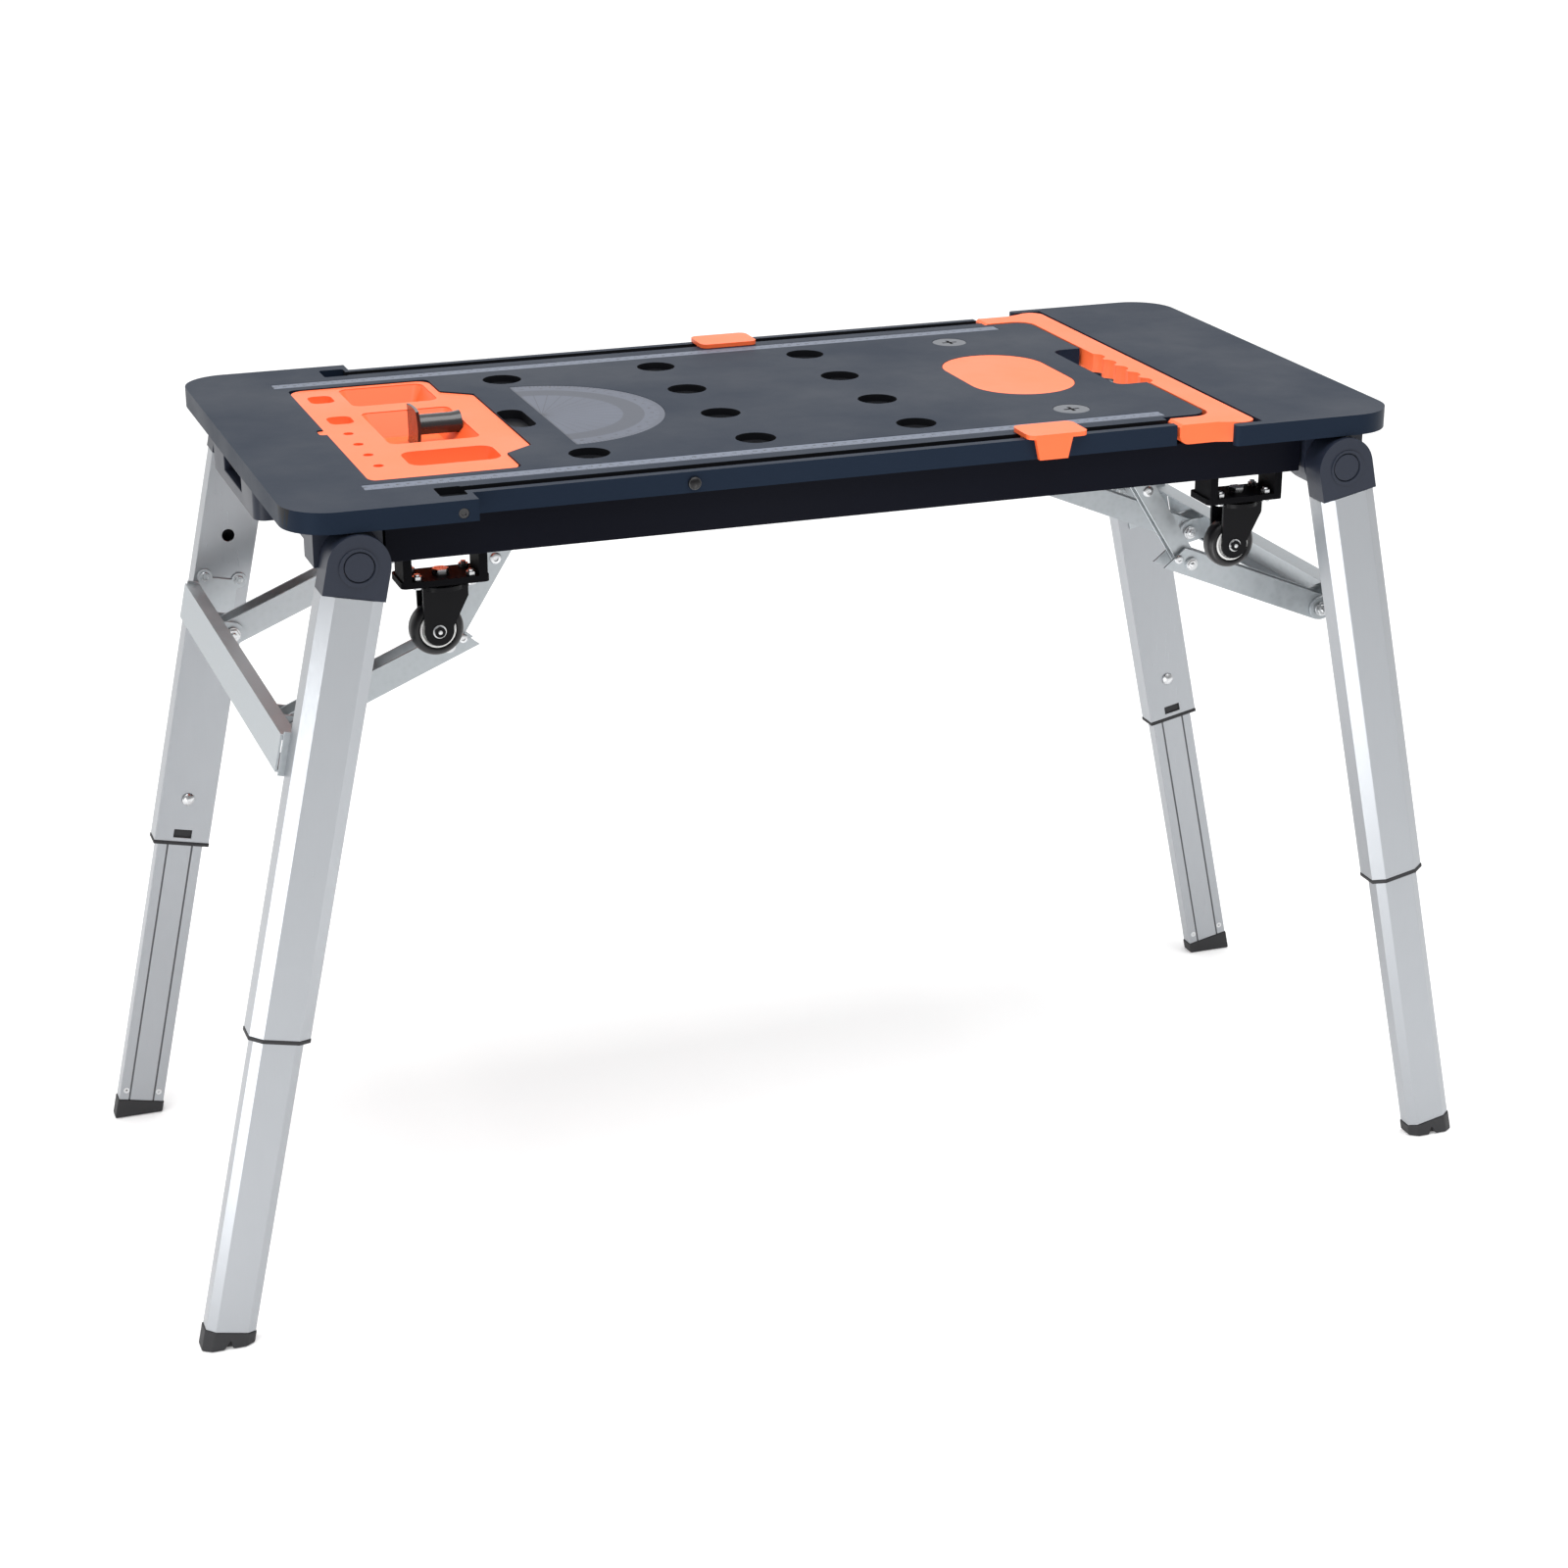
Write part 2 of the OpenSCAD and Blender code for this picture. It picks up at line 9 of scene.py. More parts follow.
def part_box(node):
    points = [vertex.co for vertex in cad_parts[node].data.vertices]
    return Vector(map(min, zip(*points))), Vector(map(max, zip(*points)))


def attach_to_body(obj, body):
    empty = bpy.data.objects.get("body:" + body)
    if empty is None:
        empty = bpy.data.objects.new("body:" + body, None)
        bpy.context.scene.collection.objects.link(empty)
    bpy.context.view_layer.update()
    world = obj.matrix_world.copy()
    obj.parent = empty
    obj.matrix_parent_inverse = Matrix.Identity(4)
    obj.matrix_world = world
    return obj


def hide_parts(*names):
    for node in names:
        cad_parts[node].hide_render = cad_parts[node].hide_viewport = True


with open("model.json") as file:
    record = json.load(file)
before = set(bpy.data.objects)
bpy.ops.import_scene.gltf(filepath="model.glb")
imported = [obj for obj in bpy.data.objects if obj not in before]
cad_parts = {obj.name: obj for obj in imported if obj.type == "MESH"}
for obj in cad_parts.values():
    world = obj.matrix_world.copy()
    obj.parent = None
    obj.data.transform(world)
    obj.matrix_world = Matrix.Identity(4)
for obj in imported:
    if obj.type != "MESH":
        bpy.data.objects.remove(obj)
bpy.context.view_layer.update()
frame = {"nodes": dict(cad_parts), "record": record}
MM = 0.001
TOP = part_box("deck")[1].z
SPLAY = math.radians(12)
HINGE = Vector((0.49, 0.0, TOP - 0.0505))
RECORD = frame["record"]
NODE_SLOT = {p["node"]: p["material_slot"] for p in RECORD["subparts"]}
NODE_BODY = {n: b for b, ns in RECORD["behaviour"]["bodies"].items() for n in ns}


# ---------------------------------------------------------------- materials

def new_material(name, color, metallic=0.0, rough=0.4, coat=0.0, spec=0.5):
    m = bpy.data.materials.new(name)
    m.use_nodes = True
    nt = m.node_tree
    b = nt.nodes["Principled BSDF"]
    b.inputs["Base Color"].default_value = (*color, 1.0)
    b.inputs["Metallic"].default_value = metallic
    b.inputs["Roughness"].default_value = rough
    b.inputs["Coat Weight"].default_value = coat
    b.inputs["Coat Roughness"].default_value = 0.12
    b.inputs["Specular IOR Level"].default_value = spec
    return m, nt, b


def math_node(nt, op, a, b=None, clamp=False):
    n = nt.nodes.new("ShaderNodeMath")
    n.operation = op
    n.use_clamp = clamp
    for i, v in enumerate((a, b)):
        if v is None:
            continue
        if isinstance(v, (int, float)):
            n.inputs[i].default_value = v
        else:
            nt.links.new(v, n.inputs[i])
    return n.outputs[0]


def noise(nt, scale, detail=4.0, stretch=(1, 1, 1), rough=0.55, turn=(0, 0, 0)):
    tc = nt.nodes.new("ShaderNodeTexCoord")
    mp = nt.nodes.new("ShaderNodeMapping")
    mp.inputs["Scale"].default_value = stretch
    mp.inputs["Rotation"].default_value = turn
    nz = nt.nodes.new("ShaderNodeTexNoise")
    nz.inputs["Scale"].default_value = scale
    nz.inputs["Detail"].default_value = detail
    nz.inputs["Roughness"].default_value = rough
    nt.links.new(tc.outputs["Object"], mp.inputs["Vector"])
    nt.links.new(mp.outputs["Vector"], nz.inputs["Vector"])
    return nz.outputs["Fac"]


def map_range(nt, v, a, b, c, d):
    n = nt.nodes.new("ShaderNodeMapRange")
    nt.links.new(v, n.inputs["Value"])
    for k, x in zip(("From Min", "From Max", "To Min", "To Max"), (a, b, c, d)):
        n.inputs[k].default_value = x
    return n.outputs["Result"]


def mix_color(nt, fac, a, b):
    n = nt.nodes.new("ShaderNodeMix")
    n.data_type = "RGBA"
    nt.links.new(fac, n.inputs["Factor"])
    for i, v in ((6, a), (7, b)):
        if isinstance(v, tuple):
            n.inputs[i].default_value = (*v, 1.0)
        else:
            nt.links.new(v, n.inputs[i])
    return n.outputs[2]


def bumps(nt, b, parts):
    """Chains bump nodes: parts is a list of (height socket, strength, distance)."""
    last = None
    for h, strength, distance in parts:
        n = nt.nodes.new("ShaderNodeBump")
        n.inputs["Strength"].default_value = strength
        n.inputs["Distance"].default_value = distance
        nt.links.new(h, n.inputs["Height"])
        if last is not None:
            nt.links.new(last, n.inputs["Normal"])
        last = n.outputs["Normal"]
    nt.links.new(last, b.inputs["Normal"])


def shade(color, k):
    return tuple(min(1.0, c * k) for c in color)


def plastic(name, color, rough, grain=900, strength=0.25, coat=0.0, vary=0.08, spec=0.5, tint=(1, 1, 1)):
    m, nt, b = new_material(name, color, 0.0, rough, coat, spec)
    b.inputs["Specular Tint"].default_value = (*tint, 1.0)
    big = noise(nt, 9, 5)
    fine = noise(nt, grain, 2)
    nt.links.new(mix_color(nt, big, shade(color, 1 - vary), shade(color, 1 + vary)), b.inputs["Base Color"])
    nt.links.new(map_range(nt, big, 0.3, 0.7, rough - 0.05, rough + 0.06), b.inputs["Roughness"])
    bumps(nt, b, [(fine, strength, 0.00015), (noise(nt, 30, 2), 0.06, 0.001)])
    return m


def metal(name, color, rough, stretch, turn=(0, 0, 0), strength=0.25, metallic=1.0):
    m, nt, b = new_material(name, color, metallic, rough)
    lines = noise(nt, 120, 3, stretch, 0.6, turn)
    cloud = noise(nt, 7, 4)
    nt.links.new(mix_color(nt, cloud, shade(color, 0.93), shade(color, 1.05)), b.inputs["Base Color"])
    fac = math_node(nt, "ADD", math_node(nt, "MULTIPLY", lines, 0.6), math_node(nt, "MULTIPLY", cloud, 0.4))
    nt.links.new(map_range(nt, fac, 0.3, 0.7, rough - 0.07, rough + 0.08), b.inputs["Roughness"])
    bumps(nt, b, [(lines, strength, 0.0002)])
    return m


def spangled(name, color, rough, metallic=1.0):
    m, nt, b = new_material(name, color, metallic, rough)
    tc = nt.nodes.new("ShaderNodeTexCoord")
    v = nt.nodes.new("ShaderNodeTexVoronoi")
    v.inputs["Scale"].default_value = 160
    nt.links.new(tc.outputs["Object"], v.inputs["Vector"])
    cloud = noise(nt, 18, 5)
    cell = map_range(nt, v.outputs["Distance"], 0.0, 0.7, 0.0, 1.0)
    fac = math_node(nt, "ADD", math_node(nt, "MULTIPLY", cell, 0.35), math_node(nt, "MULTIPLY", cloud, 0.65))
    nt.links.new(mix_color(nt, fac, shade(color, 0.82), shade(color, 1.12)), b.inputs["Base Color"])
    nt.links.new(map_range(nt, fac, 0.25, 0.75, rough - 0.06, rough + 0.1), b.inputs["Roughness"])
    bumps(nt, b, [(cloud, 0.12, 0.0004)])
    return m


def object_xyz(nt):
    tc = nt.nodes.new("ShaderNodeTexCoord")
    s = nt.nodes.new("ShaderNodeSeparateXYZ")
    nt.links.new(tc.outputs["Object"], s.inputs[0])
    return s.outputs


def stripes(nt, v, period, width):
    """1 on a line of the given width every period, counted in the value's own units."""
    f = math_node(nt, "FRACT", math_node(nt, "ADD", math_node(nt, "DIVIDE", v, period), 100.5))
    d = math_node(nt, "ABSOLUTE", math_node(nt, "SUBTRACT", f, 0.5))
    return math_node(nt, "LESS_THAN", d, width / period / 2)


def ruler_material():
    base, ink = (0.118, 0.138, 0.182), (0.016, 0.019, 0.027)
    m, nt, b = new_material("scale_strip", base, 0.0, 0.42, spec=0.25)
    x, y, _ = object_xyz(nt)
    side = math_node(nt, "ABSOLUTE", y)
    past_short = math_node(nt, "GREATER_THAN", side, 0.2062)
    short = math_node(nt, "MULTIPLY", stripes(nt, x, 0.002, 0.0005), past_short)
    past_mid = math_node(nt, "GREATER_THAN", side, 0.2035)
    mid = math_node(nt, "MULTIPLY", stripes(nt, x, 0.010, 0.0008), past_mid)
    between = math_node(nt, "ADD", x, 0.005)
    from_row = math_node(nt, "ABSOLUTE", math_node(nt, "SUBTRACT", side, 0.1998))
    in_row = math_node(nt, "LESS_THAN", from_row, 0.0022)
    figure = math_node(nt, "MULTIPLY", stripes(nt, between, 0.010, 0.0042), in_row)
    broken = math_node(nt, "GREATER_THAN", noise(nt, 520, 1), 0.5)
    ticks = math_node(nt, "MAXIMUM", short, mid)
    marks = math_node(nt, "MAXIMUM", ticks, math_node(nt, "MULTIPLY", figure, broken))
    worn = math_node(nt, "MULTIPLY", marks, map_range(nt, noise(nt, 60, 3), 0.35, 0.6, 0.45, 1.0))
    cloud = mix_color(nt, noise(nt, 26, 4), shade(base, 0.86), shade(base, 1.14))
    nt.links.new(mix_color(nt, worn, cloud, ink), b.inputs["Base Color"])
    bumps(nt, b, [(noise(nt, 700, 2), 0.2, 0.0001)])
    return m


def protractor_material():
    pale, dark, ink = (0.074, 0.086, 0.118), (0.044, 0.052, 0.072), (0.017, 0.020, 0.028)
    m, nt, b = new_material("protractor_print", pale, 0.0, 0.40, spec=0.3)
    x, y, _ = object_xyz(nt)
    px = math_node(nt, "ADD", x, 0.244)
    px2 = math_node(nt, "MULTIPLY", px, px)
    y2 = math_node(nt, "MULTIPLY", y, y)
    r = math_node(nt, "SQRT", math_node(nt, "ADD", px2, y2))
    ang = math_node(nt, "MULTIPLY", math_node(nt, "ARCTAN2", y, px), 180 / math.pi)
    outside = math_node(nt, "GREATER_THAN", r, 0.079)
    band = math_node(nt, "MULTIPLY", outside, math_node(nt, "LESS_THAN", r, 0.1))
    ray_width = math_node(nt, "DIVIDE", 0.0006 * 180 / math.pi, r)
    f = math_node(nt, "FRACT", math_node(nt, "ADD", math_node(nt, "DIVIDE", ang, 10.0), 100.5))
    d = math_node(nt, "MULTIPLY", math_node(nt, "ABSOLUTE", math_node(nt, "SUBTRACT", f, 0.5)), 20.0)
    on_ray = math_node(nt, "LESS_THAN", d, ray_width)
    rays = math_node(nt, "MULTIPLY", on_ray, math_node(nt, "LESS_THAN", r, 0.079))
    ticks = math_node(nt, "MULTIPLY", stripes(nt, ang, 2.0, 0.5), math_node(nt, "GREATER_THAN", r, 0.1145))
    longs = math_node(nt, "MULTIPLY", stripes(nt, ang, 10.0, 0.6), math_node(nt, "GREATER_THAN", r, 0.1105))
    from_row = math_node(nt, "ABSOLUTE", math_node(nt, "SUBTRACT", r, 0.107))
    in_row = math_node(nt, "LESS_THAN", from_row, 0.0018)
    between = math_node(nt, "ADD", ang, 5.0)
    figs = math_node(nt, "MULTIPLY", stripes(nt, between, 10.0, 2.6), in_row)
    figs = math_node(nt, "MULTIPLY", figs, math_node(nt, "GREATER_THAN", noise(nt, 560, 1), 0.5))
    from_base = math_node(nt, "ABSOLUTE", math_node(nt, "SUBTRACT", px, 0.0012))
    edge = math_node(nt, "LESS_THAN", from_base, 0.0004)
    marks = rays
    for v in (ticks, longs, figs, edge):
        marks = math_node(nt, "MAXIMUM", marks, v)
    cloud = mix_color(nt, noise(nt, 22, 5), shade(pale, 0.82), shade(pale, 1.12))
    base = mix_color(nt, band, cloud, dark)
    nt.links.new(mix_color(nt, math_node(nt, "MULTIPLY", marks, 0.75), base, ink), b.inputs["Base Color"])
    bumps(nt, b, [(noise(nt, 700, 2), 0.2, 0.0001), (band, 0.3, 0.0004)])
    return m


LEG_TURN = {"left": (0, SPLAY, 0), "right": (0, -SPLAY, 0)}
MAT = {
    "deck_plastic": plastic(
        "deck_plastic", (0.0100, 0.0160, 0.0290), 0.46, 1400, 0.2, vary=0.08, spec=0.12, tint=(0.5, 0.7, 1.0)
    ),
    "frame_paint": plastic("frame_paint", (0.0038, 0.0044, 0.0085), 0.42, 1100, 0.15, vary=0.1, spec=0.05),
    "joint_plastic": plastic("joint_plastic", (0.017, 0.022, 0.037), 0.38, 1200, 0.2, vary=0.06, spec=0.3),
    "scale_plastic": ruler_material(),
    "protractor": protractor_material(),
    "orange_plastic": plastic("orange_plastic", (0.98, 0.150, 0.040), 0.40, 900, 0.12, vary=0.03, spec=0.45),
    "bolt_steel": spangled("bolt_steel", (0.62, 0.63, 0.64), 0.26),
    "zinc_steel": spangled("zinc_steel", (0.44, 0.47, 0.49), 0.40, 0.75),
    "foot_rubber": plastic("foot_rubber", (0.013, 0.013, 0.015), 0.62, 600, 0.5, vary=0.15),
    "fork_paint": plastic("fork_paint", (0.0030, 0.0030, 0.0040), 0.30, 500, 0.1, vary=0.1, spec=0.12),
    "bracket_paint": plastic("bracket_paint", (0.0035, 0.0035, 0.0045), 0.6, 600, 0.1, vary=0.1, spec=0.05),
    "tyre_rubber": plastic("tyre_rubber", (0.0040, 0.0040, 0.0050), 0.30, 700, 0.15, vary=0.12, spec=0.35),
    "hub_plastic": plastic("hub_plastic", (0.80, 0.80, 0.79), 0.25, 500, 0.08, coat=0.3, vary=0.03),
    "dog_plastic": plastic("dog_plastic", (0.012, 0.012, 0.014), 0.24, 500, 0.1, coat=0.3, vary=0.1),
    # near-black for the walls of holes, slots and rail channels sunk into the deck: painted shade
    "recess_shade": plastic("recess_shade", (0.0045, 0.005, 0.007), 0.5, 500, 0.1, spec=0.2),
    "disc_steel": metal("disc_steel", (0.17, 0.18, 0.20), 0.5, (6, 6, 6), (0, 0, 0), 0.1, 0.7),
    # flat grey for the grooves in the inner legs: painted shade
    "groove_shade": plastic("groove_shade", (0.10, 0.105, 0.112), 0.5, 500, 0.1),
}
for end in ("left", "right"):
    MAT["leg_" + end] = metal(
        "leg_aluminium_" + end, (0.365, 0.38, 0.40), 0.33, (9, 9, 0.25), LEG_TURN[end], 0.16, 0.9
    )


# ---------------------------------------------------------------- mesh helpers

def finish_mesh(me, angle=32):
    bm = bmesh.new()
    bm.from_mesh(me)
    bmesh.ops.recalc_face_normals(bm, faces=bm.faces)
    for f in bm.faces:
        f.smooth = True
    lim = math.radians(angle)
    for e in bm.edges:
        e.smooth = not (len(e.link_faces) != 2 or e.calc_face_angle(0) > lim)
    bm.to_mesh(me)
    bm.free()


def make(name, verts, faces, mat, body, bevel=0.0, replaces=(), place=None, segments=2, angle=32):
    me = bpy.data.meshes.new(name)
    me.from_pydata([tuple(v) for v in verts], [], faces)
    if place is not None:
        me.transform(place)
    finish_mesh(me, angle)
    o = bpy.data.objects.new(name, me)
    bpy.context.scene.collection.objects.link(o)
    me.materials.append(mat)
    if bevel:
        round_edges(o, bevel, segments)
    attach(o, body, replaces)
    return o


def attach(o, body, replaces=()):
    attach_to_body(o, body)
    if replaces:
        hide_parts(*replaces)


def round_edges(o, width, segments=2, limit=28):
    m = o.modifiers.new("edges", "BEVEL")
    m.width = width
    m.segments = segments
    m.limit_method = "ANGLE"
    m.angle_limit = math.radians(limit)
    m.use_clamp_overlap = True
    m.harden_normals = True
    m.miter_outer = "MITER_ARC"


def soft_copy(node, mat, width, segments=2, merge=True):
    """The CAD node's own shape with its flats merged and its edges rounded."""
    src = frame["nodes"][node]
    bm = bmesh.new()
    bm.from_mesh(src.data)
    bmesh.ops.remove_doubles(bm, verts=bm.verts, dist=2e-6)
    if merge:
        bmesh.ops.dissolve_limit(bm, angle_limit=math.radians(0.6), verts=bm.verts, edges=bm.edges)
    verts = [v.co.copy() for v in bm.verts]
    faces = [[v.index for v in f.verts] for f in bm.faces]
    bm.free()
    body, slot = NODE_BODY[node], NODE_SLOT[node]
    return make(node + "_shell", verts, faces, mat, body, width, (node,), None, segments)


def lathe(profile, seg=48, start=0.0, arc=2 * math.pi):
    """Turns (radius, height) points about Z. A full turn closes; an open arc gets flat ends."""
    full = abs(arc - 2 * math.pi) < 1e-6
    n = seg if full else seg + 1
    verts, faces, rows = [], [], []
    for r, h in profile:
        if r < 1e-7 and full:
            rows.append([len(verts)])
            verts.append((0, 0, h))
            continue
        row = []
        for i in range(n):
            a = start + arc * i / seg
            row.append(len(verts))
            verts.append((r * math.cos(a), r * math.sin(a), h))
        rows.append(row)
    pairs = list(zip(rows, rows[1:]))
    for a, b in pairs:
        for i in range(seg):
            j = (i + 1) % n
            if len(a) == 1 and len(b) == 1:
                continue
            if len(a) == 1:
                faces.append([a[0], b[i], b[j]])
            elif len(b) == 1:
                faces.append([a[i], a[j], b[0]])
            else:
                faces.append([a[i], a[j], b[j], b[i]])
    if not full:
        faces.append([row[0] for row in rows])
        faces.append([row[-1] for row in rows])
    return verts, faces


def hexagon(r, z0, z1, chamfer=0.0006):
    verts, faces = [], []
    rings = [(r - chamfer, z0), (r, z0 + chamfer), (r, z1 - chamfer), (r - chamfer, z1)]
    for rr, z in rings:
        for i in range(6):
            a = math.pi / 3 * i
            verts.append((rr * math.cos(a), rr * math.sin(a), z))
    for k in range(3):
        for i in range(6):
            j = (i + 1) % 6
            faces.append([6 * k + i, 6 * k + j, 6 * k + 6 + j, 6 * k + 6 + i])
    faces.append([5, 4, 3, 2, 1, 0])
    faces.append([18, 19, 20, 21, 22, 23])
    return verts, faces


def merged(parts):
    verts, faces = [], []
    for vs, fs in parts:
        k = len(verts)
        verts += [tuple(v) for v in vs]
        faces += [[i + k for i in f] for f in fs]
    return verts, faces


def aimed(pos, direction):
    q = Vector(direction).to_track_quat("Z", "Y")
    return Matrix.Translation(Vector(pos)) @ q.to_matrix().to_4x4()


def leg_point(sx, u, y, s):
    """Place in the frame of a point given along a leg: u towards the end, y sideways, s from the hinge."""
    x = HINGE.x + s * math.sin(SPLAY) + u * math.cos(SPLAY)
    z = HINGE.z - s * math.cos(SPLAY) + u * math.sin(SPLAY)
    return Vector((sx * x, y, z))


def rounded_loop(x0, x1, y0, y1, r, z, n=6):
    pts = []
    corners = ((x1 - r, y1 - r, 0), (x0 + r, y1 - r, 90), (x0 + r, y0 + r, 180), (x1 - r, y0 + r, 270))
    for cx, cy, a0 in corners:
        for i in range(n + 1):
            a = math.radians(a0 + 90 * i / n)
            pts.append((cx + r * math.cos(a), cy + r * math.sin(a), z))
    return pts


def loft(loops):
    verts, faces = [], []
    n = len(loops[0])
    for loop in loops:
        verts += loop
    for k in range(len(loops) - 1):
        for i in range(n):
            j = (i + 1) % n
            faces.append([k * n + i, k * n + j, (k + 1) * n + j, (k + 1) * n + i])
    faces.append(list(range(n))[::-1])
    faces.append(list(range((len(loops) - 1) * n, len(loops) * n)))
    return verts, faces


def fillet(points, radii, n=6):
    """A flat outline with each corner rounded by its own radius."""
    out = []
    m = len(points)
    for i in range(m):
        p, a, b = Vector(points[i]), Vector(points[i - 1]), Vector(points[(i + 1) % m])
        r = radii[i]
        u, v = (a - p).normalized(), (b - p).normalized()
        half = math.acos(max(-1, min(1, u.dot(v)))) / 2
        if r <= 0 or half > 1.56:
            out.append((p.x, p.y))
            continue
        t = r / math.tan(half)
        c = p + (u + v).normalized() * (r / math.sin(half))
        s, e = p + u * t - c, p + v * t - c
        a0, a1 = math.atan2(s.y, s.x), math.atan2(e.y, e.x)
        d = (a1 - a0 + math.pi) % (2 * math.pi) - math.pi
        for k in range(n + 1):
            q = a0 + d * k / n
            out.append((c.x + r * math.cos(q), c.y + r * math.sin(q)))
    return out


def temp_object(name, parts):
    verts, faces = merged(parts)
    me = bpy.data.meshes.new(name)
    me.from_pydata([tuple(Vector(v) * MM) for v in verts], [], faces)
    finish_mesh(me)
    o = bpy.data.objects.new(name, me)
    bpy.context.scene.collection.objects.link(o)
    return o


def solid_sum(base, add, cut):
    """Mesh data of base plus add minus cut, in metres."""
    o = temp_object("sum_base", base)
    extra = []
    for parts, op in ((add, "UNION"), (cut, "DIFFERENCE")):
        for part in parts:
            t = temp_object("sum_tool", part)
            m = o.modifiers.new("b", "BOOLEAN")
            m.operation = op
            m.solver = "EXACT"
            m.object = t
            extra.append(t)
    dg = bpy.context.evaluated_depsgraph_get()
    me = bpy.data.meshes.new_from_object(o.evaluated_get(dg))
    verts = [v.co.copy() for v in me.vertices]
    faces = [list(p.vertices) for p in me.polygons]
    for t in extra + [o]:
        old = t.data
        bpy.data.objects.remove(t)
        bpy.data.meshes.remove(old)
    bpy.data.meshes.remove(me)
    return verts, faces


# ---------------------------------------------------------------- the top

def dark_faces(o, mat, test):
    """Gives the faces whose middle passes the test a second material."""
    o.data.materials.append(mat)
    for f in o.data.polygons:
        if test(f.center):
            f.material_index = 1


HOLES = [Vector(m["pos_m"]) for m in RECORD["mounts"] if m["kind"] == "bore"]


# Faces sunk below the deck top in the dog holes, the slot near the left end and the edge rail channels; they
# are painted near-black as shade.
def in_shaded_recess(p):
    if p.z > TOP - 0.0012:
        return False
    if any(math.hypot(p.x - h.x, p.y - h.y) < 0.0197 for h in HOLES):
        return True
    if -0.285 < p.x < -0.257 and -0.041 < p.y < 0.031:
        return True
    return p.z > TOP - 0.0085 and 0.2235 < abs(p.y) < 0.2485 and p.x < 0.33


dark_faces(soft_copy("deck", MAT["deck_plastic"], 1.1 * MM, 3, merge=False), MAT["recess_shade"], in_shaded_recess)
soft_copy("right_end_plate", MAT["deck_plastic"], 1.4 * MM, 3, merge=False)
for node in ("front_beam", "rear_beam"):
    soft_copy(node, MAT["frame_paint"], 2.2 * MM, 3)
for node in ("left_end_beam", "right_end_beam"):
    soft_copy(node, MAT["joint_plastic"], 1.6 * MM, 3)
soft_copy("cross_members", MAT["frame_paint"], 0.7 * MM)
soft_copy("caster_brackets", MAT["bracket_paint"], 1.2 * MM)
soft_copy("hinge_blocks", MAT["joint_plastic"], 1.5 * MM, 3)
soft_copy("rulers", MAT["scale_plastic"], 0.2 * MM)
soft_copy("protractor", MAT["protractor"], 0.2 * MM)
soft_copy("oval_insert", MAT["orange_plastic"], 0.5 * MM)
soft_copy("carry_handle", MAT["orange_plastic"], 2.4 * MM, 4)
for node in ("front_stop", "rear_stop"):
    soft_copy(node, MAT["orange_plastic"], 1.3 * MM, 3)


def is_screw_or_cross_shade(p):
    """An edge screw, black of its own, or the sunk cross in a deck disc, painted black as shade."""
    return abs(p.y) > 0.24 or (p.z < TOP - 0.0006 and abs(p.x - 0.25) < 0.0088)


discs = soft_copy("deck_fasteners", MAT["disc_steel"], 0.3 * MM)
dark_faces(discs, MAT["dog_plastic"], is_screw_or_cross_shade)
for side, sy in (("front", -1), ("rear", 1)):
    v, f = lathe([(0, 0), (6.2, 0), (6.1, 1.0), (5.2, 2.2), (3.4, 3.1), (1.6, 3.5), (0, 3.6)], 32)
    place = aimed((-0.171, sy * 0.2494, TOP - 0.011), (0, sy, 0))
    dome = [Vector(p) * MM for p in v]
    make(f"rail_dome_{side}", dome, f, MAT["tyre_rubber"], "table", 0, (), place, angle=60)
soft_copy("hinge_pins", MAT["joint_plastic"], 0.8 * MM)
soft_copy("caster_bolts", MAT["bolt_steel"], 0.5 * MM)

# ---------------------------------------------------------------- tool tray and bench dog

TRAY_Z = -1.2
WALL = 1.8
# Each pocket: x0, x1, y0, y1, depth, corner radius and how far its walls slope in, in mm.
POCKETS = [
    (-408, -322, 98, 172, 22, 10, 11),
    (-408, -320, -57, 70, 24, 8, 14),
    (-408, -320, -140, -88, 22, 13, 8),
    (-444, -420, 122, 152, 12, 8, 3),
    (-444, -420, 35, 65, 12, 8, 3),
]


def inset_loop(pocket, d, z, extra=0):
    """The pocket's outline drawn in by d, its corner radius widened by extra."""
    x0, x1, y0, y1, r = pocket
    return rounded_loop(x0 + d, x1 - d, y0 + d, y1 - d, max(r - d * 0.5, 3) + extra, z)


def tray():
    corners = [
        (-456, -180), (-314, -180), (-314, -127), (-285, -105), (-285, 105), (-314, 127), (-314, 180),
        (-456, 180), (-456, 13.5), (-462.5, 13.5), (-462.5, -3.5), (-456, -3.5),
    ]
    edge = fillet(corners, [16, 14, 6, 10, 10, 6, 14, 16, 1, 3, 3, 1])
    base = [loft([[(x, y, z) for x, y in edge] for z in (-5.2, TRAY_Z)])]
    add, cut = [], []
    for x0, x1, y0, y1, depth, r, slope in POCKETS:
        pocket = (x0, x1, y0, y1, r)
        inner = [(slope, -depth), (0, TRAY_Z - 1), (0, TRAY_Z + 1)]
        cut.append(loft([inset_loop(pocket, d, z) for d, z in inner]))
        outer = [(slope - WALL, -depth - WALL), (-WALL, -4)]
        add.append(loft([inset_loop(pocket, d, z, 1) for d, z in outer]))
    x = -435.7
    for y in (-3, -45, -86, -127):
        ends = ((4.4, -12), (5, TRAY_Z + 1))
        cut.append(loft([rounded_loop(x - r, x + r, y - r, y + r, r * 0.999, z) for r, z in ends]))
        add.append(loft([rounded_loop(-443.2, -428.2, y - 7.5, y + 7.5, 7.49, z) for z in (-14, -4)]))
    v, f = solid_sum(base, [add], [cut])
    v = [Vector(p) + Vector((0, 0, TOP)) for p in v]
    mat = MAT["orange_plastic"]
    return make("tool_tray_shell", v, f, mat, "tool_tray", 1.3 * MM, ("tool_tray",), None, 3)


